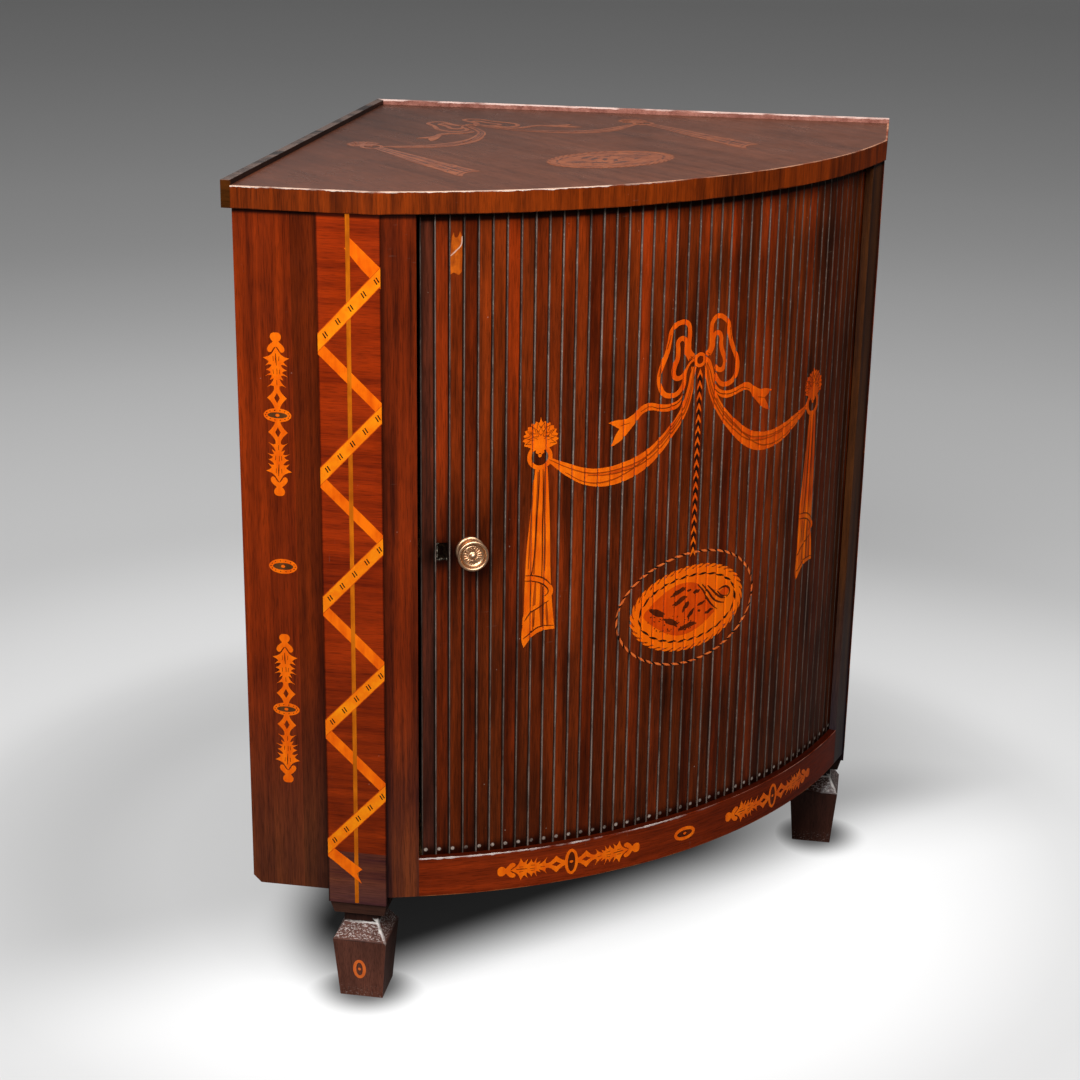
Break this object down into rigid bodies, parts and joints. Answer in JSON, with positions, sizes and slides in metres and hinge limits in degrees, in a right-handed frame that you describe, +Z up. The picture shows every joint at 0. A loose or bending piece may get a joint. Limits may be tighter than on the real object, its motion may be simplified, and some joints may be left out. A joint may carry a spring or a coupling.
{
  "type": "corner cabinet",
  "caption": "Bow-fronted corner cabinet on spade feet with a sliding tambour shutter, canted side panels, pilasters and swag and ribbon marquetry.",
  "frame": {"origin": "floor level, midway between the bow of the top and the rear corner of the gallery, on the line that halves the corner", "axes": "+Z up, +Y towards the corner of the room, +X to the right of someone facing the bow"},
  "size_m": [0.8528, 0.6212, 0.855],
  "materials": {
    "mahogany": "french polished, worn",
    "tambour_mahogany": "polished",
    "crossbanding": "polished, rubbed edge",
    "satinwood_inlay": "polished marquetry",
    "dark_inlay": "stained marquetry lines",
    "inner_oak": "planed, unpolished",
    "linen_canvas": "glued linen",
    "brass": "old polish with dark recesses",
    "dark_brass": "tarnished"
  },
  "bodies": {
    "cabinet": {"top_board": "mahogany", "top_edge_band": "crossbanding", "gallery_left": "mahogany", "gallery_right": "mahogany", "left_back_board_1": "inner_oak", "left_back_board_2": "inner_oak", "left_back_board_3": "inner_oak", "right_back_board_1": "inner_oak", "right_back_board_2": "inner_oak", "right_back_board_3": "inner_oak", "left_wing": "mahogany", "right_wing": "mahogany", "left_pilaster": "mahogany", "right_pilaster": "mahogany", "left_stile": "mahogany", "right_stile": "mahogany", "bottom_rail": "mahogany", "base_board": "inner_oak", "left_leg_block": "inner_oak", "left_plinth": "mahogany", "left_foot": "mahogany", "right_leg_block": "inner_oak", "right_plinth": "mahogany", "right_foot": "mahogany", "rear_leg_block": "inner_oak", "rear_plinth": "mahogany", "rear_foot": "mahogany", "tambour_guard": "inner_oak", "shelf": "inner_oak", "left_shelf_bearer": "inner_oak", "right_shelf_bearer": "inner_oak", "lower_corner_batten": "inner_oak", "upper_corner_batten": "inner_oak"},
    "shutter": {"lead_slat": "tambour_mahogany", "lock_slat": "tambour_mahogany", "third_slat": "tambour_mahogany", "knob_slat": "tambour_mahogany", "left_slats": "tambour_mahogany", "middle_slats": "tambour_mahogany", "right_slats": "tambour_mahogany", "canvas_backing": "linen_canvas", "knob": "brass", "knob_rose": "brass", "lock_plate": "dark_brass"},
    "tail_1": {"tail_slats_1": "tambour_mahogany", "tail_canvas_1": "linen_canvas"},
    "tail_2": {"tail_slats_2": "tambour_mahogany", "tail_canvas_2": "linen_canvas"},
    "tail_3": {"tail_slats_3": "tambour_mahogany", "tail_canvas_3": "linen_canvas"},
    "tail_4": {"tail_slats_4": "tambour_mahogany", "tail_canvas_4": "linen_canvas"},
    "tail_5": {"tail_slats_5": "tambour_mahogany", "tail_canvas_5": "linen_canvas"},
    "tail_6": {"tail_slats_6": "tambour_mahogany", "tail_canvas_6": "linen_canvas"},
    "tail_7": {"tail_slats_7": "tambour_mahogany", "tail_canvas_7": "linen_canvas"},
    "tail_8": {"tail_slats_8": "tambour_mahogany", "tail_canvas_8": "linen_canvas"}
  },
  "joints": [
    {"name": "shutter_slide", "type": "hinge", "parent": "cabinet", "child": "shutter", "pos_m": [0, 0.29789, 0], "axis": [0, 0, 1], "range_deg": [0, 18.62]},
    {"name": "tail_seam_1", "type": "hinge", "parent": "shutter", "child": "tail_1", "pos_m": [0.09392, -0.28307, 0], "axis": [0, 0, 1], "range_deg": [0, 5.81]},
    {"name": "tail_seam_2", "type": "hinge", "parent": "tail_1", "child": "tail_2", "pos_m": [0.12078, -0.27809, 0], "axis": [0, 0, 1], "range_deg": [0, 11.62]},
    {"name": "tail_seam_3", "type": "hinge", "parent": "tail_2", "child": "tail_3", "pos_m": [0.14738, -0.27186, 0], "axis": [0, 0, 1], "range_deg": [0, 11.62]},
    {"name": "tail_seam_4", "type": "hinge", "parent": "tail_3", "child": "tail_4", "pos_m": [0.17365, -0.26441, 0], "axis": [0, 0, 1], "range_deg": [0, 11.62]},
    {"name": "tail_seam_5", "type": "hinge", "parent": "tail_4", "child": "tail_5", "pos_m": [0.19956, -0.25575, 0], "axis": [0, 0, 1], "range_deg": [0, 11.62]},
    {"name": "tail_seam_6", "type": "hinge", "parent": "tail_5", "child": "tail_6", "pos_m": [0.22503, -0.24589, 0], "axis": [0, 0, 1], "range_deg": [0, 11.62]},
    {"name": "tail_seam_7", "type": "hinge", "parent": "tail_6", "child": "tail_7", "pos_m": [0.25002, -0.23486, 0], "axis": [0, 0, 1], "range_deg": [0, 11.62]},
    {"name": "tail_seam_8", "type": "hinge", "parent": "tail_7", "child": "tail_8", "pos_m": [0.27447, -0.22269, 0], "axis": [0, 0, 1], "range_deg": [0, 11.62]}
  ],
  "couplings": [
    {"joint": "tail_seam_1", "follows": "shutter_slide", "ratio": 0.31168},
    {"joint": "tail_seam_2", "follows": "shutter_slide", "ratio": 0.62335},
    {"joint": "tail_seam_3", "follows": "shutter_slide", "ratio": 0.62335},
    {"joint": "tail_seam_4", "follows": "shutter_slide", "ratio": 0.62335},
    {"joint": "tail_seam_5", "follows": "shutter_slide", "ratio": 0.62335},
    {"joint": "tail_seam_6", "follows": "shutter_slide", "ratio": 0.62335},
    {"joint": "tail_seam_7", "follows": "shutter_slide", "ratio": 0.62335},
    {"joint": "tail_seam_8", "follows": "shutter_slide", "ratio": 0.62335}
  ]
}
